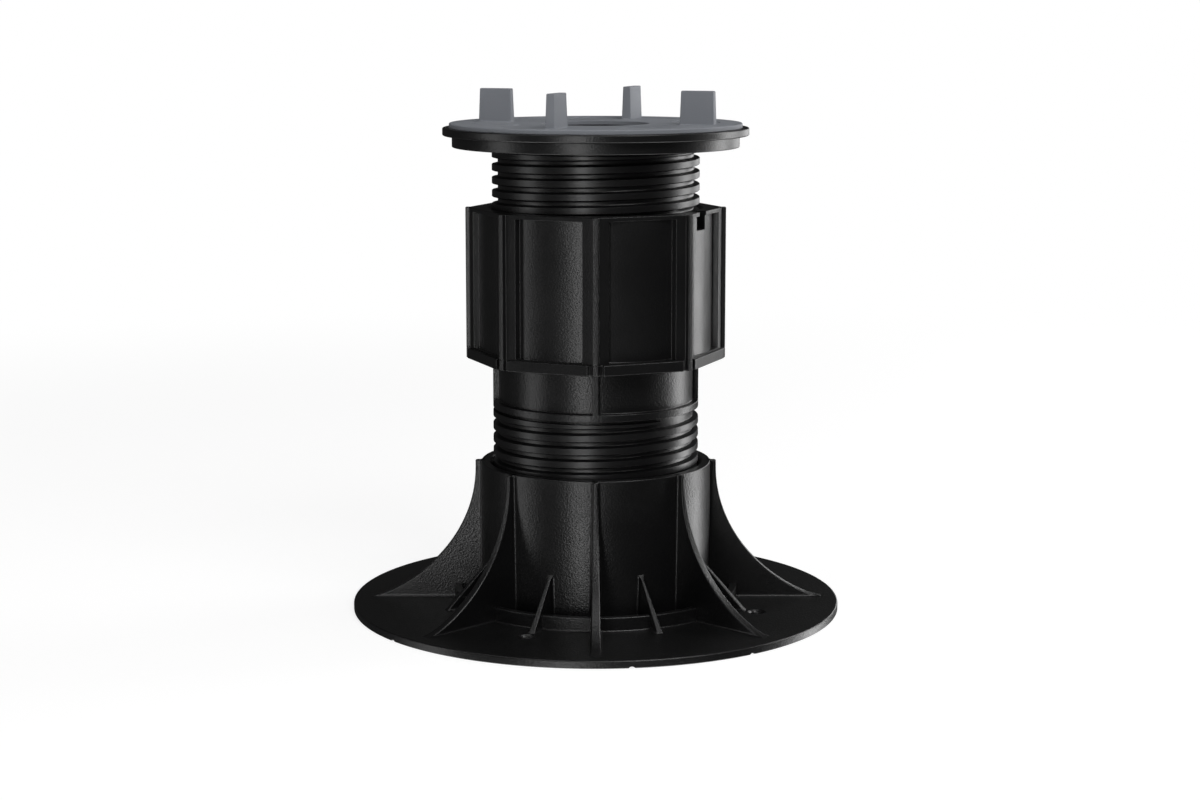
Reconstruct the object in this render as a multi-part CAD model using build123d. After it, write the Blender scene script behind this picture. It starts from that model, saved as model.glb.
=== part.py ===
from build123d import *
import math
import os

# Decking pedestal with two screws: a finned foot, a ribbed coupler, a flanged stem and a turning tile head.
# Millimetres, +Z up. The origin is the centre of the foot's underside.

# Screws of the coupler and of the stem: plain tubes at the thread's crest, and the necks beside them
thread_root_radius = 39.6
thread_depth = 2.4
running_clearance = 0.3
screw_wall = 2.6

# Foot: plate, socket tube and low ring wall
plate_radius = 100.0
plate_thickness = 3.1
plate_edge_break = 0.5
drain_hole_radius = 15.0
socket_wall = 4.7
socket_length = 57.6
socket_mouth_bevel = 1.5
ring_wall_gap = 8.2
ring_wall_thickness = 3.2
ring_wall_height = 5.6

# Foot: curved fins, and small gussets between them
fin_count = 8
fin_lip_width = 2.5
fin_lip_drop = 2.7
fin_reach = 42.0
fin_sweep_degrees = 68.0
fin_top_thickness = 1.9
fin_foot_thickness = 3.8
gusset_height = 19.2
gusset_reach = 18.8
gusset_top_thickness = 1.5
gusset_foot_thickness = 2.7

# Foot: fixing holes beside every second gusset, and small notches under the rim
hole_circle_radius = 70.5
hole_radius = 2.75
hole_bevel = 1.0
hole_first_degrees = 67.5
notch_angles = (217.6, 277.8, 306.9)
notch_radius = 1.6
notch_depth = 0.7
notch_reach = 2.0

# Coupler: its height above the socket's floor as photographed, its screw and its neck
coupler_rise = 22.9
coupler_screw_length = 56.1
neck_band_width = 4.1
neck_length = 17.0
neck_rib_count = 4
neck_rib_width = 2.6

# Coupler: eight-sided collar with a grip fin at each corner
collar_height = 61.5
collar_floor = 3.0
collar_wall = 5.5
collar_mouth_bevel = 1.2
panel_depth = 0.5
panel_half_degrees = 16.5
panel_sill = 4.6
panel_lintel = 1.7
collar_flange_step = 1.8
collar_flange_height = 4.2
collar_flange_gap = 3.0
grip_fin_count = 8
grip_fin_height = 1.1
grip_fin_tip_thickness = 2.4
grip_fin_root_thickness = 3.2
index_notch_degrees = 332.0
index_notch_width = 7.5
index_notch_depth = 7.4

# Stem: its height above the coupler's shoulder as photographed, its screw and its flange
stem_rise = 24.8
stem_screw_length = 56.5
stem_neck_length = 1.6
stem_neck_step = 0.8
flange_radius = 58.0
flange_height = 4.7
flange_thickness = 2.4
flange_skirt = 2.6

# Head plate and its spigot
head_overhang = 3.8
head_thickness = 3.05
head_edge_bevel = 0.3
spigot_length = 12.0
spigot_wall = 2.4
spigot_root = 1.0

# Tile pad with four spacer tabs
pad_setback = 2.7
pad_thickness = 1.85
pad_edge_bevel = 0.3
pad_rim_width = 9.1
pad_recess = 0.25
pad_hole_radius = 21.5
pad_hole_lip = 0.4
tab_count = 4
tab_first_degrees = 69.5
tab_circle_radius = 43.3
tab_length = 14.3
tab_thickness = 4.0
tab_height = 13.2
tab_draft = 0.4
pad_rib_offset = 24.0
pad_rib_start = 24.0
pad_rib_length = 19.0
pad_rib_width = 1.2
pad_rib_height = 0.2
sunk = 0.5

# Sizes that follow from the ones above
crest_radius = thread_root_radius + thread_depth
bore_radius = crest_radius + running_clearance
screw_bore_radius = thread_root_radius - screw_wall
socket_radius = bore_radius + socket_wall
socket_top = plate_thickness + socket_length
coupler_bottom = plate_thickness + coupler_rise
coupler_screw_top = coupler_bottom + coupler_screw_length
neck_bottom = coupler_screw_top + neck_band_width
collar_bottom = neck_bottom + neck_length
collar_top = collar_bottom + collar_height
collar_shoulder = collar_bottom + collar_floor
collar_apothem = bore_radius + collar_wall
panel_radius = collar_apothem - panel_depth
grip_fin_radius = collar_apothem / math.cos(math.pi / grip_fin_count) + grip_fin_height
stem_bottom = collar_shoulder + stem_rise
stem_screw_top = stem_bottom + stem_screw_length
flange_bottom = stem_screw_top + stem_neck_length
flange_top = flange_bottom + flange_height
head_radius = flange_radius + head_overhang
head_top = flange_top + head_thickness
pad_radius = head_radius - pad_setback
pad_top = head_top + pad_thickness
pad_floor = pad_top - pad_recess


def disc(radius, bottom, top):
    """A round block between two heights."""
    cylinder = Cylinder(radius, top - bottom, align=(Align.CENTER, Align.CENTER, Align.MIN))
    return Pos(0, 0, bottom) * cylinder


def ring(outer, inner, bottom, top):
    """A tube between two heights."""
    return disc(outer, bottom, top) - disc(inner, bottom - 1, top + 1)


def block(low_x, high_x, width, bottom, top):
    """A square-edged bar along +X, centred across it, between two heights."""
    bar = Box(high_x - low_x, width, top - bottom, align=(Align.MIN, Align.CENTER, Align.MIN))
    return Pos(low_x, 0, bottom) * bar


def mouth_bevel(radius, size, top):
    """The cone that bevels the edge of a hole whose mouth is at the height top."""
    cone = Cone(radius, radius + size, size, align=(Align.CENTER, Align.CENTER, Align.MAX))
    return Pos(0, 0, top) * cone


def around(shape, count, first=0.0):
    """Copies of a shape, evenly spaced about the Z axis."""
    step = 360 / count
    return [Rot(0, 0, first + step * i) * shape for i in range(count)]


def radial_blade(outline, bottom, top, bottom_thickness, top_thickness):
    """A thin wall along +X: an outline in the XZ plane, with its thickness tapered between two heights."""
    corners = (
        (-bottom_thickness / 2, bottom), (bottom_thickness / 2, bottom),
        (top_thickness / 2, top), (-top_thickness / 2, top),
    )
    taper = extrude(Plane.YZ * Polygon(*corners, align=None), amount=plate_radius * 2)
    return taper & extrude(Plane.XZ.offset(-bottom_thickness) * outline, amount=2 * bottom_thickness)


def make_base():
    """The foot: plate, socket, ring wall, fins, gussets and holes."""
    plate = disc(plate_radius, 0, plate_thickness)
    plate = chamfer(plate.edges().filter_by(GeomType.CIRCLE).sort_by(Axis.Z)[-1], plate_edge_break)
    wall_inside = socket_radius + ring_wall_gap
    wall_top = plate_thickness + ring_wall_height
    wall = ring(wall_inside + ring_wall_thickness, wall_inside, plate_thickness - sunk, wall_top)
    body = plate + disc(socket_radius, 0, socket_top) + wall
    body += around(foot_fin(), fin_count)
    body += around(foot_gusset(), fin_count, 180 / fin_count)
    body -= disc(bore_radius, plate_thickness, socket_top + 1)
    body -= mouth_bevel(bore_radius, socket_mouth_bevel, socket_top)
    body -= disc(drain_hole_radius, -1, plate_thickness + 1)

    hole = disc(hole_radius, -1, plate_thickness + 1) + mouth_bevel(hole_radius, hole_bevel, plate_thickness)
    hole = Pos(hole_circle_radius, 0, 0) * hole
    for cutter in around(hole, fin_count // 2, hole_first_degrees):
        body -= cutter
    nick = Rot(0, 90, 0) * Cylinder(notch_radius, 2 * notch_reach)
    nick = Pos(plate_radius, 0, notch_depth - notch_radius) * nick
    for angle in notch_angles:
        body -= Rot(0, 0, angle) * nick
    return body


def foot_fin():
    """One curved fin: a short lip beside the socket's mouth, then an elliptical sweep out to the plate."""
    lip_radius = socket_radius + fin_lip_width
    lip_z = socket_top - fin_lip_drop
    sweep_angle = math.radians(fin_sweep_degrees)
    across = fin_reach / (1 - math.cos(sweep_angle))
    down = (lip_z - plate_thickness) / math.sin(sweep_angle)
    inside = socket_radius - socket_wall / 2
    low = plate_thickness - sunk
    centre = (lip_radius + across, lip_z)
    curve = EllipticalCenterArc(centre, across, down, start_angle=180, arc_size=fin_sweep_degrees)
    foot = lip_radius + fin_reach
    rest = Polyline(
        (foot, plate_thickness), (foot, low), (inside, low),
        (inside, socket_top), (lip_radius, socket_top), (lip_radius, lip_z),
    )
    return radial_blade(make_face([curve, rest]), low, socket_top, fin_foot_thickness, fin_top_thickness)


def foot_gusset():
    """One small straight gusset between two fins."""
    top = plate_thickness + gusset_height
    inside = socket_radius - socket_wall / 2
    low = plate_thickness - sunk
    foot = socket_radius + gusset_reach
    corners = ((inside, low), (foot, low), (foot, plate_thickness), (socket_radius, top), (inside, top))
    outline = Polygon(*corners, align=None)
    return radial_blade(outline, low, top, gusset_foot_thickness, gusset_top_thickness)


def make_coupler():
    """The height sleeve: screw tube, smooth neck and ribbed collar with a plain bore."""
    screw = disc(crest_radius, coupler_bottom, neck_bottom)
    neck = disc(thread_root_radius, neck_bottom - sunk, collar_bottom + sunk)
    inner = thread_root_radius - sunk
    rib = block(inner, crest_radius + 1, neck_rib_width, neck_bottom, collar_bottom + sunk)
    ribs = around(rib & disc(crest_radius, 0, collar_top), neck_rib_count)
    body = screw + neck + ribs + collar_outside()
    body -= disc(screw_bore_radius, coupler_bottom - 1, collar_shoulder + 1)
    body -= disc(bore_radius, collar_shoulder, collar_top + 1)
    body -= mouth_bevel(bore_radius, collar_mouth_bevel, collar_top)
    notch_bottom = collar_top - index_notch_depth
    notch = block(screw_bore_radius + 1, grip_fin_radius + 1, index_notch_width, notch_bottom, collar_top + 1)
    return body - Rot(0, 0, index_notch_degrees) * notch


def octagon(apothem, bottom, top):
    """A block with one side between each two grip fins, and a corner on +X."""
    face = RegularPolygon(apothem, grip_fin_count, major_radius=False)
    return Pos(0, 0, bottom) * extrude(face, amount=top - bottom)


def collar_outside():
    """The collar before it is bored: corner strips, sunk round panels, split bottom flange and grip fins."""
    body = octagon(collar_apothem, collar_bottom, collar_top)
    reach = collar_apothem * 2
    half_width = reach * math.tan(math.radians(panel_half_degrees))
    wedge = Polygon((0, 0), (reach, -half_width), (reach, half_width), align=None)
    low = collar_bottom + panel_sill
    high = collar_top - panel_lintel
    pocket = Pos(0, 0, low) * extrude(wedge, amount=high - low) - disc(panel_radius, low - 1, high + 1)
    for cutter in around(pocket, grip_fin_count, 180 / grip_fin_count):
        body -= cutter

    flange_top_z = collar_bottom + collar_flange_height
    flange = octagon(collar_apothem + collar_flange_step, collar_bottom, flange_top_z)
    slot = block(panel_radius, reach, 2 * collar_flange_gap, collar_bottom, flange_top_z)
    for cutter in around(slot, grip_fin_count):
        flange -= cutter
    body += flange

    inner = panel_radius - collar_wall / 2
    fin = Polygon(
        (inner, -grip_fin_root_thickness / 2), (grip_fin_radius, -grip_fin_tip_thickness / 2),
        (grip_fin_radius, grip_fin_tip_thickness / 2), (inner, grip_fin_root_thickness / 2), align=None,
    )
    fin = Pos(0, 0, collar_bottom) * extrude(fin, amount=collar_height)
    return body + around(fin, grip_fin_count)


def make_stem():
    """The screwed stem, with a flange that has a skirt underneath."""
    neck_radius = thread_root_radius + stem_neck_step
    body = disc(crest_radius, stem_bottom, stem_screw_top)
    body += disc(neck_radius, stem_screw_top - sunk, flange_top)
    body += disc(flange_radius, flange_top - flange_thickness, flange_top)
    body += ring(flange_radius, flange_radius - flange_skirt, flange_bottom, flange_top)
    return body - disc(screw_bore_radius, stem_bottom - 1, flange_top + 1)


def make_head_plate():
    """The round plate that turns on the stem's flange, with a spigot in the stem's bore."""
    plate = disc(head_radius, flange_top, head_top)
    plate = chamfer(plate.edges().filter_by(GeomType.CIRCLE), head_edge_bevel)
    spigot_radius = screw_bore_radius - running_clearance
    low = flange_top - spigot_length
    spigot = ring(spigot_radius, spigot_radius - spigot_wall, low, flange_top + spigot_root)
    return plate + spigot - disc(pad_hole_radius + pad_hole_lip, flange_top - 1, head_top + 1)


def make_tile_pad():
    """The soft pad: bevelled rim, sunk floor, low ribs, centre hole and four upright spacer tabs."""
    pad = disc(pad_radius, head_top, pad_top)
    pad = chamfer(pad.edges().filter_by(GeomType.CIRCLE).sort_by(Axis.Z)[-1], pad_edge_bevel)
    pad -= disc(pad_radius - pad_rim_width, pad_floor, pad_top + 1)
    pad_rib_end = pad_rib_start + pad_rib_length
    rib = block(pad_rib_start, pad_rib_end, pad_rib_width, pad_floor - sunk, pad_floor + pad_rib_height)
    for side in (-1, 1):
        pad += around(Pos(0, side * pad_rib_offset, 0) * rib, tab_count, tab_first_degrees)
    pad += around(spacer_tab(), tab_count, tab_first_degrees)
    return pad - disc(pad_hole_radius, head_top - 1, pad_top + 1)


def spacer_tab():
    """One upright tab along +X, a little thinner and shorter at its top."""
    foot = Rectangle(tab_length, tab_thickness)
    tip = Rectangle(tab_length - 2 * tab_draft, tab_thickness - 2 * tab_draft)
    foot = Pos(tab_circle_radius, 0, pad_floor - sunk) * foot
    return loft([foot, Pos(tab_circle_radius, 0, pad_top + tab_height) * tip])


os.makedirs("parts", exist_ok=True)
export_step(make_base(), "parts/base.step")
export_step(make_coupler(), "parts/coupler.step")
export_step(make_stem(), "parts/threaded_stem.step")
export_step(make_head_plate(), "parts/head_plate.step")
export_step(make_tile_pad(), "parts/tile_pad.step")
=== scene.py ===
import math
import bmesh
import bpy
import numpy as np
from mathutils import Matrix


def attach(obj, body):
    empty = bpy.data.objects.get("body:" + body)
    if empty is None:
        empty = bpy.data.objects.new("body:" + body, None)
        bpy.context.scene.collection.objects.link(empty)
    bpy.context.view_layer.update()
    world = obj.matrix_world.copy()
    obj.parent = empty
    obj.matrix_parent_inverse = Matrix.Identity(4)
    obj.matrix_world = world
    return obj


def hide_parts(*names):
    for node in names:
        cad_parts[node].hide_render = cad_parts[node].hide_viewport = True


# Screw-adjustable decking pedestal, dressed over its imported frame.
# All sizes below are millimetres, with the foot's underside centred at the origin and +Z up.

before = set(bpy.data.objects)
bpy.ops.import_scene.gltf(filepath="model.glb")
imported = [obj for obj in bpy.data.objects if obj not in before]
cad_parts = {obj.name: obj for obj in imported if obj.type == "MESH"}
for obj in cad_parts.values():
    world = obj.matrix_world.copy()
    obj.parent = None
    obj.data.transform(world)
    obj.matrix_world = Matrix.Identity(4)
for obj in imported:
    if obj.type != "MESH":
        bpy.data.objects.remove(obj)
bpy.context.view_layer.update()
print("stage: frame loaded with", len(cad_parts), "nodes")

mm = 0.001
roundSteps = 288          # columns of every turned piece
arcSteps = 4              # steps along a rounded corner, which has one point more
largestShare = 0.48       # the most that a rounding takes of a side
sharpDegrees = 38         # faces that meet at more than this keep a sharp edge
weldDistance = 2e-6       # metres between points that are merged
shortestEdge = 1e-6       # metres

# Where rows lie beside a rounded edge and in a fillet, as distances in its radii.
roundRows = np.array([1.0, 0.62, 0.32, 0.12, 0.03, 0])
filletRows = np.array([0, 0.06, 0.18, 0.36, 0.6, 1.0])


# Shape helpers

def roundedLoop(corners, steps=arcSteps):
    # Each corner (x, y, radius) becomes an arc: the rational quadratic curve between its two tangent
    # points, whose middle point is the corner, weighted by the sine of half the corner's angle.
    corners = np.asarray(corners, float)
    at, radius = corners[:, :2], corners[:, 2]
    before = np.roll(at, 1, axis=0) - at
    after = np.roll(at, -1, axis=0) - at
    lengthBefore = np.linalg.norm(before, axis=1)
    lengthAfter = np.linalg.norm(after, axis=1)
    cosine = (before * after).sum(axis=1) / (lengthBefore * lengthAfter)
    half = np.arccos(np.clip(cosine, -1, 1)) / 2
    reach = np.minimum(radius / np.tan(half), largestShare * np.minimum(lengthBefore, lengthAfter))
    start = at + before * (reach / lengthBefore)[:, None]
    end = at + after * (reach / lengthAfter)[:, None]
    weight = np.sin(half)[:, None, None]
    s = np.linspace(0, 1, steps + 1)[None, :, None]
    curve = (1 - s) ** 2 * start[:, None] + 2 * s * (1 - s) * weight * at[:, None] + s ** 2 * end[:, None]
    return (curve / ((1 - s) ** 2 + 2 * s * (1 - s) * weight + s ** 2)).reshape(-1, 2)


def turned(outline, columns=roundSteps):
    # An outline of (radius, height) carried round the axis: x = r cos a, y = r sin a, z unchanged.
    angle = np.arange(columns) * 2 * math.pi / columns
    radius, height = outline[:, 0][:, None], outline[:, 1][:, None]
    return np.stack([radius * np.cos(angle), radius * np.sin(angle), height + 0 * angle], axis=-1)


def stacked(loops, heights):
    # Level outlines of (x, y) with as many points each, one above another: row i lies at heights[i].
    loops = np.asarray(loops)
    heights = np.broadcast_to(np.asarray(heights, float)[:, None], loops.shape[:2])
    return np.concatenate([loops, heights[..., None]], axis=-1)


def shrunk(loop, distance):
    # The outline moved towards the axis by a distance: each point keeps its polar angle.
    radius = np.linalg.norm(loop, axis=1, keepdims=True)
    return loop * (1 - distance / radius)


def copiesAround(grid, degrees):
    # The same grid turned about the vertical axis to each angle.
    copies = []
    for angle in np.radians(degrees):
        c, s = math.cos(angle), math.sin(angle)
        copies.append(grid @ np.array([[c, s, 0], [-s, c, 0], [0, 0, 1]]))
    return copies


def quarterRound(distance, size):
    # What a quarter circle takes off at a distance from the edge: size less the square root of size
    # squared less what is left of the size squared. It is all of the size at 0 and nothing at size.
    inside = size - np.clip(distance, 0, size)
    return size - np.sqrt(size ** 2 - inside ** 2)


def gridQuads(rows, columns, closeRows, climb):
    # The quad at (i, j) joins rows i and i + 1 to columns j and j + 1; the columns always close on
    # themselves. On a screw row i of the last column meets row i + climb, one pitch further up, of the
    # first column. The bore's two rows at the end don't climb.
    row = np.arange(rows if closeRows else rows - 1)[:, None]
    column = np.arange(columns)[None, :]
    nextRow, nextColumn = (row + 1) % rows, (column + 1) % columns
    climbed = np.arange(rows)
    if climb:
        climbed[:-2] = np.minimum(climbed[:-2] + climb, rows - 3)
    seam = column == columns - 1
    across = np.where(seam, climbed[row], row)
    nextAcross = np.where(seam, climbed[nextRow], nextRow)
    corners = [row * columns + column, across * columns + nextColumn,
               nextAcross * columns + nextColumn, nextRow * columns + column]
    return np.stack(corners, axis=-1).reshape(-1, 4)


def meshFromGrids(name, grids, capped, climb=0):
    # Closed shells in metres: a grid closes on itself both ways, or is capped by one face at its first
    # and last row. A shell of negative volume is turned right side out.
    points, faces, offset = [], [], 0
    for grid in grids:
        rows, columns = grid.shape[:2]
        points.append(grid.reshape(-1, 3) * mm)
        faces += (gridQuads(rows, columns, not capped, climb) + offset).tolist()
        if capped:
            faces.append((np.arange(columns)[::-1] + offset).tolist())
            faces.append((np.arange(columns) + offset + (rows - 1) * columns).tolist())
        offset += rows * columns
    mesh = bpy.data.meshes.new(name)
    mesh.from_pydata(np.concatenate(points).tolist(), [], faces)
    work = bmesh.new()
    work.from_mesh(mesh)
    bmesh.ops.remove_doubles(work, verts=work.verts, dist=weldDistance)
    bmesh.ops.dissolve_degenerate(work, edges=work.edges, dist=shortestEdge)
    if work.calc_volume(signed=True) < 0:
        bmesh.ops.reverse_faces(work, faces=work.faces)
    work.to_mesh(mesh)
    work.free()
    return mesh


def cutAway(piece, grids):
    # The piece less closed capped shells, by an exact Boolean whose result becomes the piece's mesh.
    cutter = bpy.data.objects.new("cutter", meshFromGrids("cutter", grids, True))
    bpy.context.scene.collection.objects.link(cutter)
    cut = piece.modifiers.new("cut", "BOOLEAN")
    cut.operation = "DIFFERENCE"
    cut.solver = "EXACT"
    cut.object = cutter
    evaluated = piece.evaluated_get(bpy.context.evaluated_depsgraph_get())
    result = bpy.data.meshes.new_from_object(evaluated)
    piece.modifiers.clear()
    piece.data = result
    bpy.data.objects.remove(cutter)


def smoothOff(piece):
    # Smooth shading with each corner's normal weighted by the area of its faces, and sharp edges kept.
    piece.data.shade_smooth()
    piece.data.set_sharp_from_angle(angle=math.radians(sharpDegrees))
    weighted = piece.modifiers.new("weighted normals", "WEIGHTED_NORMAL")
    weighted.keep_sharp = True


def addPiece(name, grids, capped, body, material, cutters=(), climb=0):
    # One piece of the object: the union of its grids' shells less its cutters, riding on one body.
    piece = bpy.data.objects.new(name, meshFromGrids(name, grids, capped, climb))
    bpy.context.scene.collection.objects.link(piece)
    if cutters:
        cutAway(piece, cutters)
    smoothOff(piece)
    piece.data.materials.clear()
    piece.data.materials.append(material)
    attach(piece, body)
    print("piece:", name, len(piece.data.polygons), "faces")


# Materials, all on object coordinates in metres

def newMaterial(name):
    # A node material, returned with its nodes, its links and its shader.
    material = bpy.data.materials.new(name)
    material.use_nodes = True
    nodes = material.node_tree.nodes
    return material, nodes, material.node_tree.links, nodes["Principled BSDF"]


finish = {"cellSmoothness": 0.6, "cloudScale": 55, "cloudDetail": 4, "glossier": 0.06, "duller": 0.08}


def mouldedPlastic(name, colour, roughness, specular, grainSize, grainHeight):
    # The bump's height is grainHeight times the distance to the nearest cell's middle, with cells of
    # grainSize millimetres. The roughness follows a cloudy noise round the given one.
    material, nodes, links, shader = newMaterial(name)
    shader.inputs["Base Color"].default_value = (*colour, 1)
    shader.inputs["Specular IOR Level"].default_value = specular
    place = nodes.new("ShaderNodeTexCoord")
    cells = nodes.new("ShaderNodeTexVoronoi")
    cells.feature = "SMOOTH_F1"
    cells.inputs["Scale"].default_value = 1 / (grainSize * mm)
    cells.inputs["Smoothness"].default_value = finish["cellSmoothness"]
    links.new(place.outputs["Object"], cells.inputs["Vector"])
    clouds = nodes.new("ShaderNodeTexNoise")
    clouds.inputs["Scale"].default_value = finish["cloudScale"]
    clouds.inputs["Detail"].default_value = finish["cloudDetail"]
    links.new(place.outputs["Object"], clouds.inputs["Vector"])
    gloss = nodes.new("ShaderNodeMapRange")
    gloss.inputs["To Min"].default_value = roughness - finish["glossier"]
    gloss.inputs["To Max"].default_value = roughness + finish["duller"]
    links.new(clouds.outputs["Fac"], gloss.inputs["Value"])
    links.new(gloss.outputs["Result"], shader.inputs["Roughness"])
    bump = nodes.new("ShaderNodeBump")
    bump.inputs["Distance"].default_value = grainHeight * mm
    bump.inputs["Strength"].default_value = 1
    links.new(cells.outputs["Distance"], bump.inputs["Height"])
    links.new(bump.outputs["Normal"], shader.inputs["Normal"])
    return material


black = {"colour": (0.003, 0.003, 0.0032), "roughness": 0.34, "specular": 0.5}
slate = {"colour": (0.218, 0.229, 0.252), "roughness": 0.62, "specular": 0.35}

blackGrained = mouldedPlastic("black grained polypropylene", **black, grainSize=0.75, grainHeight=0.072)
blackFine = mouldedPlastic("black fine-grained polypropylene", **black, grainSize=0.72, grainHeight=0.052)
blackSmooth = mouldedPlastic("black smooth polypropylene", **black, grainSize=1.4, grainHeight=0.02)
greyPad = mouldedPlastic("slate grey soft pad", **slate, grainSize=0.7, grainHeight=0.03)
print("stage: materials ready")


# Screws

screw = {
    "rootRadius": 39.6, "crestRadius": 42.0, "boreRadius": 37.0, "pitch": 5.25, "columns": 180,
    "halfCrest": 1.32, "flank": 0.52, "clearance": 0.3,
}


def ridgeSection(s):
    # One pitch of the ridge: heights from its middle, and the share of its depth that each one stands
    # out. The share is 0 on the root and 1 on the crest, with a straight flank and eased corners between.
    half, foot = s["halfCrest"], s["halfCrest"] + s["flank"]
    at = np.array([-foot - 0.35, -foot - 0.06, -foot + 0.06, -half - 0.08, -half + 0.1, -half + 0.3])
    out = np.array([0, 0.05, 0.22, 0.88, 0.985, 1.0])
    return np.concatenate([[-s["pitch"] / 2], at, -at[::-1]]), np.concatenate([[0], out, out[::-1]])


def screwGrid(s, bottom, top, centre, lastCentre):
    # A right-handed ridge round a tube: the radius is a periodic function of height less pitch times
    # turn. A row keeps one offset from the ridge; heights are clipped between bottom and top, then the
    # bore closes it.
    root, crest, pitch = s["rootRadius"], s["crestRadius"], s["pitch"]
    at, out = ridgeSection(s)
    first = math.floor((bottom - centre) / pitch) - 1
    last = math.ceil((top - centre) / pitch) + 1
    offsets = (np.arange(first, last + 1)[:, None] * pitch + at[None, :]).ravel()
    angle = np.arange(s["columns"]) * 2 * math.pi / s["columns"]
    ridge = centre + pitch * angle / (2 * math.pi)
    height = np.clip(ridge[None, :] + offsets[:, None], bottom, top)
    offset = height - ridge[None, :]
    turn = np.floor((offset + pitch / 2) / pitch)
    share = np.interp(offset - turn * pitch, at, out, period=pitch)
    share = np.where(ridge[None, :] + turn * pitch > lastCentre, 0, share)
    radius = root + (crest - root) * share
    radius = np.concatenate([radius, np.full((2, len(angle)), s["boreRadius"])])
    height = np.concatenate([height, np.full((1, len(angle)), top), np.full((1, len(angle)), bottom)])
    return np.stack([radius * np.cos(angle), radius * np.sin(angle), height], axis=-1)


# Foot

foot = {
    "plateRadius": 100.0, "plateTop": 3.1, "drainRadius": 15.0, "socketRadius": 47.0, "socketTop": 60.7,
    "boreRadius": screw["crestRadius"] + screw["clearance"], "mouthBevel": 1.5,
    "wallInside": 55.2, "wallOutside": 58.4, "wallTop": 8.7,
    "footFillet": 0.9, "wallFillet": 0.6, "rimRound": 0.7,
    "holeCircle": 70.5, "holeRadius": 2.75, "holeBevel": 1.0, "firstHoleDegrees": 67.5,
    "holeColumns": 64,
    "nickDegrees": (217.6, 277.8, 306.9), "nickRadius": 1.6, "nickDepth": 0.7, "nickReach": 3.0,
}


def footOutline(f):
    # Half section of plate, ring wall and socket as one moulding, each corner with its rounding radius.
    top = f["plateTop"]
    return roundedLoop([
        (f["drainRadius"], 0, 0.3), (f["plateRadius"], 0, 0.35), (f["plateRadius"], top, f["rimRound"]),
        (f["wallOutside"], top, f["wallFillet"]), (f["wallOutside"], f["wallTop"], 0.5),
        (f["wallInside"], f["wallTop"], 0.5), (f["wallInside"], top, f["wallFillet"]),
        (f["socketRadius"], top, f["footFillet"]), (f["socketRadius"], f["socketTop"], 0.4),
        (f["boreRadius"] + f["mouthBevel"], f["socketTop"], 0.25),
        (f["boreRadius"], f["socketTop"] - f["mouthBevel"], 0.3), (f["boreRadius"], top, 0.6),
        (f["drainRadius"], top, 0.4),
    ])


def footCutters(f):
    # Four bevelled fixing holes, as circles that widen with height through a bevel with eased edges,
    # and small nicks under the rim, as level cylinders that point at the axis.
    top, bevel, hole = f["plateTop"], f["holeBevel"], f["holeRadius"]
    rows = [(-1, 0), (top - bevel - 0.15, 0), (top - bevel + 0.1, 0.12), (top - 0.12, bevel - 0.1),
            (top + 0.03, bevel + 0.14), (top + 1, bevel + 2)]
    angle = np.arange(f["holeColumns"]) * 2 * math.pi / f["holeColumns"]
    circle = np.stack([np.cos(angle), np.sin(angle)], axis=-1)
    loops = [circle * (hole + grow) + (f["holeCircle"], 0) for height, grow in rows]
    holeGrid = stacked(loops, [height for height, grow in rows])
    cutters = copiesAround(holeGrid, f["firstHoleDegrees"] + 90 * np.arange(4))
    reach = f["nickReach"] * np.array([-1, 1])[:, None] + f["plateRadius"] + 0 * angle
    across = f["nickRadius"] * circle
    nickGrid = np.stack([reach, across[None, :, 0] + 0 * reach,
                         across[None, :, 1] + f["nickDepth"] - f["nickRadius"] + 0 * reach], axis=-1)
    return cutters + copiesAround(nickGrid, f["nickDegrees"])


addPiece("footBody", [turned(footOutline(foot))], False, "foot", blackGrained,
         cutters=footCutters(foot))

blade = {
    "inside": 45.5, "tube": foot["socketRadius"], "plateTop": foot["plateTop"], "sunk": 0.5,
    "fillet": foot["footFillet"], "edgeRound": 0.6, "sideColumns": 6,
    "curveRows": 40, "curveGap": 0.2, "gussetRows": 14, "gussetGap": 0.5,
    "lipRadius": 49.5, "lipHeight": 58.0, "finTop": foot["socketTop"], "finReach": 42.0,
    "sweepDegrees": 68.0, "finTopThickness": 1.9, "finFootThickness": 3.8,
    "toeReach": 2.1, "toeHeight": 2.2,
    "gussetTop": 22.3, "gussetFoot": 65.8, "gussetTopThickness": 1.5, "gussetFootThickness": 2.7,
}


def bladeGrid(b, height, edge, slope, halfThickness, top):
    # A wall standing on +X: at each height its two sides run out to the edge radius. Its half thickness
    # grows by a quarter round beside tube and plate, and shrinks by one beside edge and top.
    tubeSteps = b["fillet"] * np.array([0, 0.1, 0.25, 0.45, 0.7, 1.0])
    edgeSteps = b["edgeRound"] * np.concatenate([[1.25], roundRows])
    nearEdge = edge[:, None] - edgeSteps[None, :] / slope[:, None]
    nearTube = b["tube"] + tubeSteps[None, :] + 0 * edge[:, None]
    share = np.linspace(0, 1, b["sideColumns"] + 2)[None, 1:-1]
    between = nearTube[:, -1:] * (1 - share) + nearEdge[:, :1] * share
    buried = np.full((len(edge), 1), b["inside"])
    radius = np.concatenate([buried, nearTube, between, nearEdge], axis=1)
    radius = np.minimum(radius, edge[:, None])
    toEdge = (edge[:, None] - radius) * slope[:, None]
    half = halfThickness[:, None] + quarterRound(radius - b["tube"], b["fillet"])
    half = half + quarterRound(height[:, None] - b["plateTop"], b["fillet"])
    half = half - quarterRound(toEdge, b["edgeRound"]) - quarterRound(top - height[:, None], b["edgeRound"])
    left = np.stack([radius, half, height[:, None] + 0 * radius], axis=-1)
    right = left[:, ::-1] * np.array([1, -1, 1])
    return np.concatenate([left, right], axis=1)


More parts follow.
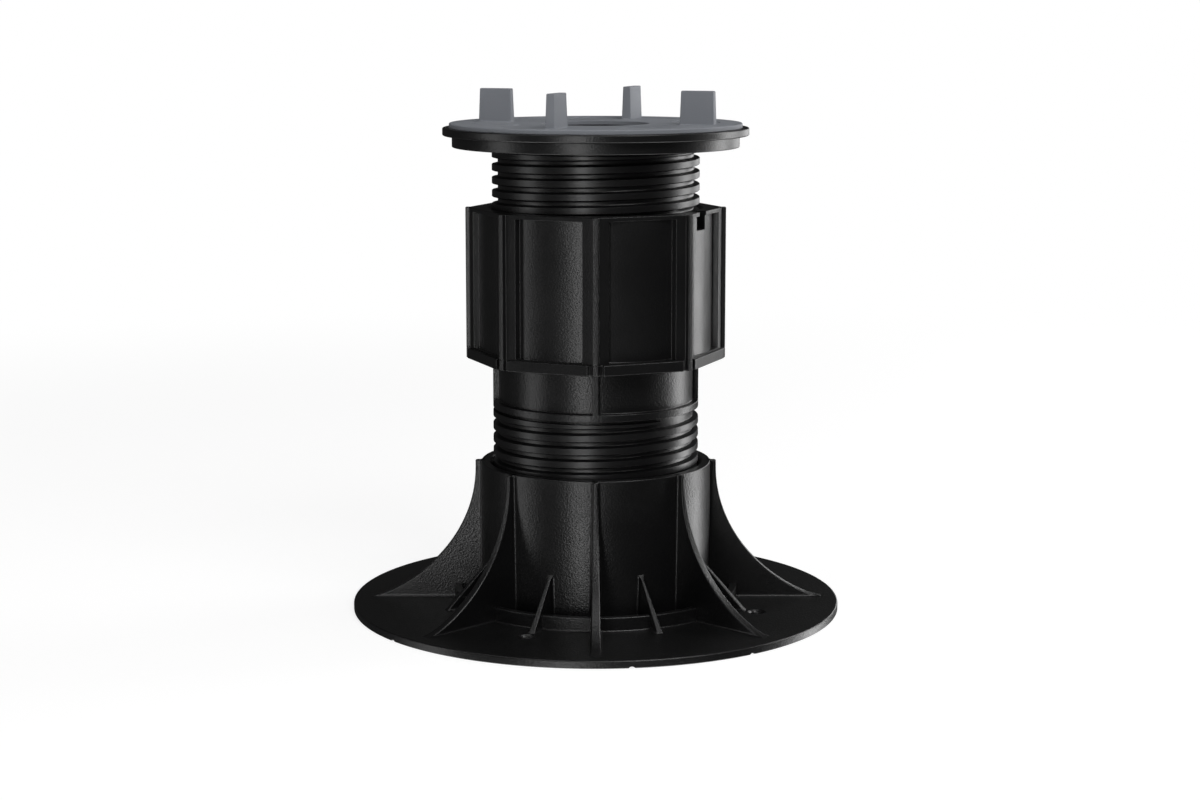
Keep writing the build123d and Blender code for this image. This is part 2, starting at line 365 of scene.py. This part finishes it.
def finGrid(b):
    # The edge is an ellipse's arc: r = lip + a (1 - cos u), z = lipHeight - c sin u, with a short lip
    # above and a toe below, which runs out along the plate as the square of the height that is left.
    sweep = math.radians(b["sweepDegrees"])
    across = b["finReach"] / (1 - math.cos(sweep))
    down = (b["lipHeight"] - b["plateTop"]) / math.sin(sweep)
    nearPlate = b["plateTop"] + b["fillet"] * filletRows
    turns = np.linspace(0, 1, b["curveRows"])[1:-2]
    curve = b["lipHeight"] - down * np.sin(sweep * turns[::-1])
    curve = curve[curve > nearPlate[-1] + b["curveGap"]]
    lip = b["finTop"] - b["edgeRound"] * np.concatenate([[4, 2], roundRows])
    height = np.concatenate([[b["plateTop"] - b["sunk"]], nearPlate, curve, [b["lipHeight"]], lip])
    u = np.arcsin(np.clip((b["lipHeight"] - height) / down, 0, math.sin(sweep)))
    edge = b["lipRadius"] + across * (1 - np.cos(u)) - quarterRound(b["finTop"] - height, b["edgeRound"])
    edge = edge + b["toeReach"] * (1 - np.clip((height - b["plateTop"]) / b["toeHeight"], 0, 1)) ** 2
    slope = down * np.cos(u) / np.hypot(down * np.cos(u), across * np.sin(u))
    share = np.clip((height - b["plateTop"]) / (b["finTop"] - b["plateTop"]), 0, 1)
    half = (b["finFootThickness"] * (1 - share) + b["finTopThickness"] * share) / 2
    return bladeGrid(b, height, edge, slope, half, b["finTop"])


def gussetGrid(b):
    # The edge falls in a straight line from the tube at the top to the gusset's foot on the plate. The
    # top edge ends in the tube, so its rounding is set just above it and takes nothing off.
    nearPlate = b["plateTop"] + b["fillet"] * filletRows
    slant = np.linspace(nearPlate[-1] + b["gussetGap"], b["gussetTop"], b["gussetRows"])
    height = np.concatenate([[b["plateTop"] - b["sunk"]], nearPlate, slant])
    share = np.clip((height - b["plateTop"]) / (b["gussetTop"] - b["plateTop"]), 0, 1)
    edge = b["gussetFoot"] + (b["tube"] - b["gussetFoot"]) * share
    run = b["gussetFoot"] - b["tube"]
    rise = b["gussetTop"] - b["plateTop"]
    slope = np.full(len(height), rise / math.hypot(rise, run))
    half = (b["gussetFootThickness"] * (1 - share) + b["gussetTopThickness"] * share) / 2
    return bladeGrid(b, height, edge, slope, half, b["gussetTop"] + b["edgeRound"])


eight = np.arange(8) * 45.0
fins = copiesAround(finGrid(blade), eight)
gussets = copiesAround(gussetGrid(blade), eight + 22.5)
addPiece("footFins", fins, True, "foot", blackGrained)
addPiece("footGussets", gussets, True, "foot", blackGrained)
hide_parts("base")
print("stage: foot done")


# Coupler: screw, neck, ribs and collar

coupler = {
    "bottom": 26.0, "screwTop": 82.1, "ridgeCentre": 78.1, "lastRidge": 82.6,
    "grooveTop": 83.3, "bandTop": 86.2, "collarBottom": 103.2, "shoulder": 106.2, "collarTop": 164.7,
    "neckSunk": 0.4, "ribWidth": 2.6, "ribInside": 38.6, "ribSunk": 0.3,
    "socketRadius": foot["boreRadius"], "mouthBevel": 1.2,
    "tipRadius": 52.8, "tipHalf": 1.2, "rootAt": 51.15, "rootHalf": 1.29, "apothem": 47.8,
    "panelRadius": 47.3, "flangeApothem": 49.6, "flangeGap": 3.0, "stripDegrees": 6.0,
    "flatDegrees": (8.0, 11.0, 14.5, 18.0, 21.0),
    "flangeTop": 107.4, "panelBottom": 107.8, "panelTop": 163.0, "edge": 0.35, "panelEase": 0.05,
    "flangeLedge": 0.02,
    "notchDegrees": 332.0, "notchWidth": 7.5, "notchDepth": 7.4, "notchInside": 38.5, "notchOutside": 56.0,
}


def neckOutline(c, s):
    # Half section of the plain neck: a groove at the thread's root, a band at its crest, and a wall that
    # runs up into the collar.
    root, crest, bore = s["rootRadius"], s["crestRadius"], s["boreRadius"]
    top = c["collarBottom"] + c["neckSunk"]
    return roundedLoop([
        (bore, c["screwTop"], 0), (root, c["screwTop"], 0), (root, c["grooveTop"], 0.2),
        (crest, c["grooveTop"], 0.3), (crest, c["bandTop"], 0.3), (root, c["bandTop"], 0.4),
        (root, top, 0), (bore, top, 0),
    ])


def sectorCorners(c, kind):
    # Half of one eighth of the collar's outline, from a grip fin's tip to the middle of the next panel:
    # the fin, then a flat side or, on a panel, an arc round the axis. All kinds have as many corners.
    flat = {"band": c["apothem"], "panel": c["apothem"], "flange": c["flangeApothem"]}[kind]
    side = math.radians(22.5)

    def onFlat(polarDegrees, apothem):
        # Where the ray at a polar angle meets the flat side: apothem over the cosine of the angle between.
        polar = math.radians(polarDegrees)
        reach = apothem / math.cos(side - polar)
        return reach * math.cos(polar), reach * math.sin(polar)

    def flatAt(y, apothem):
        # Where the flat side lies at this y: x cos side + y sin side = apothem.
        return (apothem - y * math.sin(side)) / math.cos(side), y

    def onPanel(polarDegrees):
        # The sunk panel's point at a polar angle: x = r cos a, y = r sin a.
        polar = math.radians(polarDegrees)
        return c["panelRadius"] * math.cos(polar), c["panelRadius"] * math.sin(polar)

    gap, strip = c["flangeGap"], c["stripDegrees"]
    rows = [(c["tipRadius"], c["tipHalf"], 0.4), (c["rootAt"], c["rootHalf"], 0.35)]
    if kind == "flange":
        rows += [(*flatAt(gap, c["apothem"]), 0.25), (*flatAt(gap, flat), 0.35)]
    else:
        rows += [(*flatAt(gap, flat), 0), (*flatAt(gap + c["panelEase"], flat), 0.35)]
    if kind == "panel":
        rows += [(*onFlat(strip, flat), 0.3), (*onPanel(strip), 0.3)]
        rows += [(*onPanel(polar), 0) for polar in c["flatDegrees"]]
    else:
        rows += [(*onFlat(polar, flat), 0) for polar in (strip, strip + 0.1, *c["flatDegrees"])]
    return np.array(rows)


def collarLoop(c, kind):
    # The half sector, its mirror image about the panel's middle, and both turned to all eight places.
    half = sectorCorners(c, kind)
    side = math.radians(45)
    mirror = np.array([[math.cos(side), math.sin(side)], [math.sin(side), -math.cos(side)]])
    other = half[::-1].copy()
    other[:, :2] = other[:, :2] @ mirror
    sector = np.concatenate([half, other])
    corners = []
    for angle in np.radians(eight):
        turn = np.array([[math.cos(angle), math.sin(angle)], [-math.sin(angle), math.cos(angle)]])
        turnedSector = sector.copy()
        turnedSector[:, :2] = sector[:, :2] @ turn
        corners.append(turnedSector)
    return roundedLoop(np.concatenate(corners), steps=3)


def collarGrid(c, s):
    # Outside: flange, band, panels, band, each a level outline. Inside: bevel, bore, floor, screw bore.
    flange, band, panel = collarLoop(c, "flange"), collarLoop(c, "band"), collarLoop(c, "panel")
    edge, ease = c["edge"], c["panelEase"]
    outward, inward = panel * 0.1 + band * 0.9, panel * 0.9 + band * 0.1
    polar = np.arctan2(band[:, 1], band[:, 0])
    circle = np.stack([np.cos(polar), np.sin(polar)], axis=-1)
    rows = []

    def level(loop, height, into=0.0):
        # One row: the outline moved in by a distance, at a height.
        rows.append((shrunk(loop, into), height))

    for step in edge * roundRows[::-1]:
        level(flange, c["collarBottom"] + step, quarterRound(step, edge))
    for step in edge * roundRows:
        level(flange, c["flangeTop"] - step, quarterRound(step, edge))
    level(band, c["flangeTop"] + c["flangeLedge"])
    level(band, c["panelBottom"] - ease)
    level(outward, c["panelBottom"])
    level(inward, c["panelBottom"] + ease)
    level(panel, c["panelBottom"] + edge)
    level(panel, c["panelTop"] - edge)
    level(inward, c["panelTop"] - ease)
    level(outward, c["panelTop"])
    level(band, c["panelTop"] + 2 * ease)
    for step in edge * roundRows:
        level(band, c["collarTop"] - step, quarterRound(step, edge))
    bore, bevel, low, high = c["socketRadius"], c["mouthBevel"], c["collarBottom"], c["collarTop"]
    inner = roundedLoop([
        (c["flangeApothem"], high, 0), (bore + bevel, high, 0.3), (bore, high - bevel, 0.4),
        (bore, c["shoulder"], 0.3), (s["boreRadius"], c["shoulder"], 0.3), (s["boreRadius"], low, 0.3),
        (c["flangeApothem"], low, 0),
    ])
    cornerPoints = arcSteps + 1      # the first and last corner only steer the roundings beside them
    for radius, height in inner[cornerPoints:-cornerPoints]:
        rows.append((circle * radius, height))
    return stacked([loop for loop, height in rows], [height for loop, height in rows])


def collarNotch(c):
    # A slot with rounded lower corners, carried straight through the wall along x and open at the top.
    half, low, high = c["notchWidth"] / 2, c["collarTop"] - c["notchDepth"], c["collarTop"] + 1
    outline = roundedLoop([(-half, low, 0.6), (half, low, 0.6), (half, high, 0), (-half, high, 0)])
    across = np.array([c["notchInside"], c["notchOutside"]])[:, None] + 0 * outline[:, 0]
    slot = np.stack([across, outline[:, 0] + 0 * across, outline[:, 1] + 0 * across], axis=-1)
    return copiesAround(slot, [c["notchDegrees"]])


def ribGrid(c, s):
    # A level bar on +X with two rounded corners, carried straight up from the band into the collar.
    half, low, crest, sunk = c["ribWidth"] / 2, c["ribInside"], s["crestRadius"], c["ribSunk"]
    loop = roundedLoop([(low, -half, 0), (crest, -half, 0.4), (crest, half, 0.4), (low, half, 0)])
    return stacked([loop, loop], [c["bandTop"] - sunk, c["collarBottom"] + sunk])


rowsPerPitch = len(ridgeSection(screw)[0])
couplerThread = screwGrid(screw, coupler["bottom"], coupler["screwTop"], coupler["ridgeCentre"],
                          coupler["lastRidge"])
neck = turned(neckOutline(coupler, screw))
ribs = copiesAround(ribGrid(coupler, screw), eight[::2])
addPiece("couplerScrew", [couplerThread], False, "sleeve", blackSmooth, climb=rowsPerPitch)
addPiece("couplerNeck", [neck], False, "sleeve", blackGrained)
addPiece("neckRibs", ribs, True, "sleeve", blackFine)
addPiece("couplerCollar", [collarGrid(coupler, screw)], False, "sleeve", blackFine,
         cutters=collarNotch(coupler))
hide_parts("coupler")
print("stage: coupler done")


# Stem: screw and flange

stem = {
    "bottom": 131.0, "screwTop": 187.5, "ridgeCentre": 178.35, "neckRadius": 40.4,
    "flangeBottom": 189.1, "flangeTop": 193.8, "flangeRadius": 58.0, "webBottom": 191.4, "skirt": 2.6,
}


def flangeOutline(m, s):
    # Half section of the flange: a short neck, a thin web and a skirt at the rim.
    skirtInside = m["flangeRadius"] - m["skirt"]
    return roundedLoop([
        (s["boreRadius"], m["screwTop"], 0), (m["neckRadius"], m["screwTop"], 0.2),
        (m["neckRadius"], m["webBottom"], 0.6), (skirtInside, m["webBottom"], 0.4),
        (skirtInside, m["flangeBottom"], 0.3), (m["flangeRadius"], m["flangeBottom"], 0.4),
        (m["flangeRadius"], m["flangeTop"], 0.4), (s["boreRadius"], m["flangeTop"], 0.3),
    ])


# the stem's ridge doesn't run out below the flange, so its last middle may lie a pitch above the screw
stemThread = screwGrid(screw, stem["bottom"], stem["screwTop"], stem["ridgeCentre"],
                       stem["screwTop"] + screw["pitch"])
addPiece("stemScrew", [stemThread], False, "stem", blackSmooth, climb=rowsPerPitch)
addPiece("stemFlange", [turned(flangeOutline(stem, screw))], False, "stem", blackFine)
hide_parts("threaded_stem")
print("stage: stem done")


# Head plate and tile pad

head = {
    "bottom": stem["flangeTop"], "top": 196.85, "radius": 61.8, "bevel": 0.3, "holeRadius": 21.9,
    "spigotBottom": 181.8, "spigotRadius": 36.7, "spigotWall": 2.4,
}


def headOutline(h):
    # Half section of the plate with its bevelled rim, its hole and the spigot under it.
    inner = h["spigotRadius"] - h["spigotWall"]
    return roundedLoop([
        (inner, h["spigotBottom"], 0.3), (h["spigotRadius"], h["spigotBottom"], 0.5),
        (h["spigotRadius"], h["bottom"], 0.4), (h["radius"] - h["bevel"], h["bottom"], 0.3),
        (h["radius"], h["bottom"] + h["bevel"], 0.4), (h["radius"], h["top"] - h["bevel"], 0.4),
        (h["radius"] - h["bevel"], h["top"], 0.3), (h["holeRadius"], h["top"], 0.4),
        (h["holeRadius"], h["bottom"], 0.3), (inner, h["bottom"], 0.4),
    ])


pad = {
    "bottom": head["top"], "top": 198.7, "floor": 198.45, "radius": 59.1, "bevel": 0.3,
    "rimInside": 50.0, "holeRadius": 21.5, "tabTop": 211.9, "tabInside": 36.15, "tabOutside": 50.45,
    "tabHalf": 2.0, "tabSunk": 0.4, "draft": 0.4, "tabRound": 0.35, "tabFlare": 0.5, "tabCorner": 0.45,
    "firstTabDegrees": 69.5, "ribOffset": 24.0, "ribStart": 24.0, "ribEnd": 43.0, "ribHalf": 0.6,
    "ribTop": 198.65, "ribRound": 0.12, "ribCorner": 0.3, "ribSunk": 0.3,
}


def padOutline(p):
    # Half section of the disc: a raised rim round a slightly lower floor, and the hole.
    return roundedLoop([
        (p["holeRadius"], p["bottom"], 0), (p["radius"], p["bottom"], 0.2),
        (p["radius"], p["top"] - p["bevel"], 0.4), (p["radius"] - p["bevel"], p["top"], 0.4),
        (p["rimInside"], p["top"], 0.15), (p["rimInside"], p["floor"], 0.1),
        (p["holeRadius"], p["floor"], 0.3),
    ])


def tabGrid(p):
    # Level rectangles with rounded corners, narrowing by the draft, with a quarter round at the top
    # and a small flare at the foot.
    flare, corner = p["tabFlare"], p["tabCorner"]
    rise = p["tabTop"] - p["floor"]
    heights = np.concatenate([[p["floor"] - p["tabSunk"]], p["floor"] + flare * roundRows[::-1],
                              p["tabTop"] - p["tabRound"] * roundRows])
    loops = []
    for height in heights:
        share = (height - p["floor"]) / rise
        into = quarterRound(p["tabTop"] - height, p["tabRound"]) - quarterRound(height - p["floor"], flare)
        low = p["tabInside"] + p["draft"] * share + into
        high = p["tabOutside"] - p["draft"] * share - into
        half = p["tabHalf"] - p["draft"] * share - into
        loops.append(roundedLoop([(low, -half, corner), (high, -half, corner), (high, half, corner),
                                  (low, half, corner)]))
    return stacked(loops, heights)


def padRibGrid(p, side):
    # Level rectangles beside a tab with rounded corners, the upper two drawn in for a soft top edge.
    middle, edge, corner = side * p["ribOffset"], p["ribRound"], p["ribCorner"]
    heights = [p["floor"] - p["ribSunk"], p["ribTop"] - edge, p["ribTop"] - edge / 3, p["ribTop"]]
    loops = []
    for into in (0, 0, edge / 4, edge):
        low, high, half = p["ribStart"] + into, p["ribEnd"] - into, p["ribHalf"] - into
        loops.append(roundedLoop([(low, middle - half, corner), (high, middle - half, corner),
                                  (high, middle + half, corner), (low, middle + half, corner)]))
    return stacked(loops, heights)


fourTurns = pad["firstTabDegrees"] + 90 * np.arange(4)
addPiece("headPlate", [turned(headOutline(head))], False, "head", blackFine)
addPiece("padDisc", [turned(padOutline(pad))], False, "head", greyPad)
addPiece("padTabs", copiesAround(tabGrid(pad), fourTurns), True, "head", greyPad)
padRibs = copiesAround(padRibGrid(pad, 1), fourTurns) + copiesAround(padRibGrid(pad, -1), fourTurns)
addPiece("padRibs", padRibs, True, "head", greyPad)
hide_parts("head_plate")
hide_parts("tile_pad")
print("stage: head done")


# Floor, backdrop, lights and camera, in metres

studio = {
    "floorSize": 8.0, "floorLevel": -0.0001, "floorGlow": 0.8, "floorColour": (0.3, 0.3, 0.3),
    "floorBounce": (0.1, 0.1, 0.1), "shadowReach": (0.3, 1.0), "worldStrength": 0.03, "aimHeight": 0.11,
}

# Each lamp's azimuth in degrees, distance from the axis, height, width and height of its face, radiance.
lamps = {
    "right strip": (25, 0.95, 0.11, (0.33, 1.4), 6.1),
    "left strip": (192, 0.95, 0.11, (0.24, 1.4), 2.3),
    "front strip": (256, 1.25, 0.11, (0.16, 1.5), 7.5),
    "top softbox": (270, 0.08, 1.2, (1.4, 0.3), 2.6),
    "front softbox": (302, 1.0, 1.0, (0.8, 0.5), 6.2),
    "table bounce": (270, 0.1, -0.5, (1.0, 1.0), 3.0),
    "rim softbox": (58, 1.0, 0.22, (0.35, 0.3), 2.8),
}

view = {
    "place": (0, -0.95391, 0.24503), "tiltDegrees": 81.025, "lens": 70.71, "sensor": 36,
    "shift": (0.00355, -0.0181), "nearest": 0.01,
}


def mixed(nodes, links, factor, first, second):
    # A mix of two shaders: the first times one less the factor, plus the second times the factor.
    mix = nodes.new("ShaderNodeMixShader")
    links.new(factor, mix.inputs["Fac"])
    links.new(first, mix.inputs[1])
    links.new(second, mix.inputs[2])
    return mix.outputs["Shader"]


def floorMaterial(s):
    # To the camera the floor glows a little short of white, and the lit rest keeps the object's shadow;
    # with distance from the axis it turns plain white, on a smooth step. Other rays meet a dim grey.
    # From below it is clear.
    material, nodes, links, shader = newMaterial("pale floor")
    nodes.remove(shader)
    lit = nodes.new("ShaderNodeBsdfDiffuse")
    lit.inputs["Color"].default_value = (*s["floorColour"], 1)
    dim = nodes.new("ShaderNodeBsdfDiffuse")
    dim.inputs["Color"].default_value = (*s["floorBounce"], 1)
    near = nodes.new("ShaderNodeEmission")
    near.inputs["Strength"].default_value = s["floorGlow"]
    far = nodes.new("ShaderNodeEmission")
    clear = nodes.new("ShaderNodeBsdfTransparent")
    place = nodes.new("ShaderNodeTexCoord")
    away = nodes.new("ShaderNodeVectorMath")
    away.operation = "LENGTH"
    links.new(place.outputs["Object"], away.inputs[0])
    fade = nodes.new("ShaderNodeMapRange")
    fade.interpolation_type = "SMOOTHSTEP"
    fade.inputs["From Min"].default_value, fade.inputs["From Max"].default_value = s["shadowReach"]
    links.new(away.outputs["Value"], fade.inputs["Value"])
    nearBoth = nodes.new("ShaderNodeAddShader")
    links.new(near.outputs["Emission"], nearBoth.inputs[0])
    links.new(lit.outputs["BSDF"], nearBoth.inputs[1])
    path = nodes.new("ShaderNodeLightPath")
    side = nodes.new("ShaderNodeNewGeometry")
    seen = mixed(nodes, links, fade.outputs["Result"], nearBoth.outputs["Shader"], far.outputs["Emission"])
    above = mixed(nodes, links, path.outputs["Is Camera Ray"], dim.outputs["BSDF"], seen)
    either = mixed(nodes, links, side.outputs["Backfacing"], above, clear.outputs["BSDF"])
    links.new(either, nodes["Material Output"].inputs["Surface"])
    return material


def addStage(s):
    # A plain floor, a hair under the foot. Gloss and the lamps' light pass it, so that it doesn't fill
    # the black plastic with grey.
    bpy.ops.mesh.primitive_plane_add(size=s["floorSize"], location=(0, 0, s["floorLevel"]))
    floor = bpy.context.object
    floor.name = "floor"
    floor.data.materials.append(floorMaterial(s))
    floor.visible_glossy = False
    floor.visible_shadow = False


def addWorld(s):
    # To the camera the world is plain white. It lights the object, and shows in its gloss, as a dim grey.
    world = bpy.data.worlds.new("studio")
    bpy.context.scene.world = world
    world.use_nodes = True
    nodes, links = world.node_tree.nodes, world.node_tree.links
    nodes.clear()
    white = nodes.new("ShaderNodeBackground")
    white.inputs["Color"].default_value = (1, 1, 1, 1)
    plain = nodes.new("ShaderNodeBackground")
    plain.inputs["Color"].default_value = (1, 1, 1, 1)
    plain.inputs["Strength"].default_value = s["worldStrength"]
    path = nodes.new("ShaderNodeLightPath")
    either = mixed(nodes, links, path.outputs["Is Camera Ray"], plain.outputs["Background"],
                   white.outputs["Background"])
    links.new(either, nodes.new("ShaderNodeOutputWorld").inputs["Surface"])


def addSoftbox(name, azimuthDegrees, distance, height, size, radiance, aim):
    # A rectangular lamp that faces a point of the axis at the height to aim at. Its power is radiance
    # times pi times area, and its tilt is the arc tangent of distance over height above that point.
    lamp = bpy.data.lights.new(name, "AREA")
    lamp.shape = "RECTANGLE"
    lamp.size, lamp.size_y = size
    lamp.energy = radiance * math.pi * size[0] * size[1]
    light = bpy.data.objects.new(name, lamp)
    bpy.context.scene.collection.objects.link(light)
    azimuth = math.radians(azimuthDegrees)
    light.location = (distance * math.cos(azimuth), distance * math.sin(azimuth), height)
    light.rotation_euler = (math.atan2(distance, height - aim), 0, azimuth + math.pi / 2)
    light.visible_camera = False


def addCamera(v):
    # The photo's own view: from in front of the object, tilted down a little, with a shifted frame.
    camera = bpy.data.cameras.new("photo camera")
    camera.lens = v["lens"]
    camera.sensor_width = v["sensor"]
    camera.shift_x, camera.shift_y = v["shift"]
    camera.clip_start = v["nearest"]
    cameraObject = bpy.data.objects.new("photo camera", camera)
    bpy.context.scene.collection.objects.link(cameraObject)
    cameraObject.location = v["place"]
    cameraObject.rotation_euler = (math.radians(v["tiltDegrees"]), 0, 0)
    bpy.context.scene.camera = cameraObject


addStage(studio)
addWorld(studio)
for lampName, lampSettings in lamps.items():
    addSoftbox(lampName, *lampSettings, studio["aimHeight"])
addCamera(view)
bpy.context.scene.view_settings.view_transform = "Standard"
print("stage: studio ready")
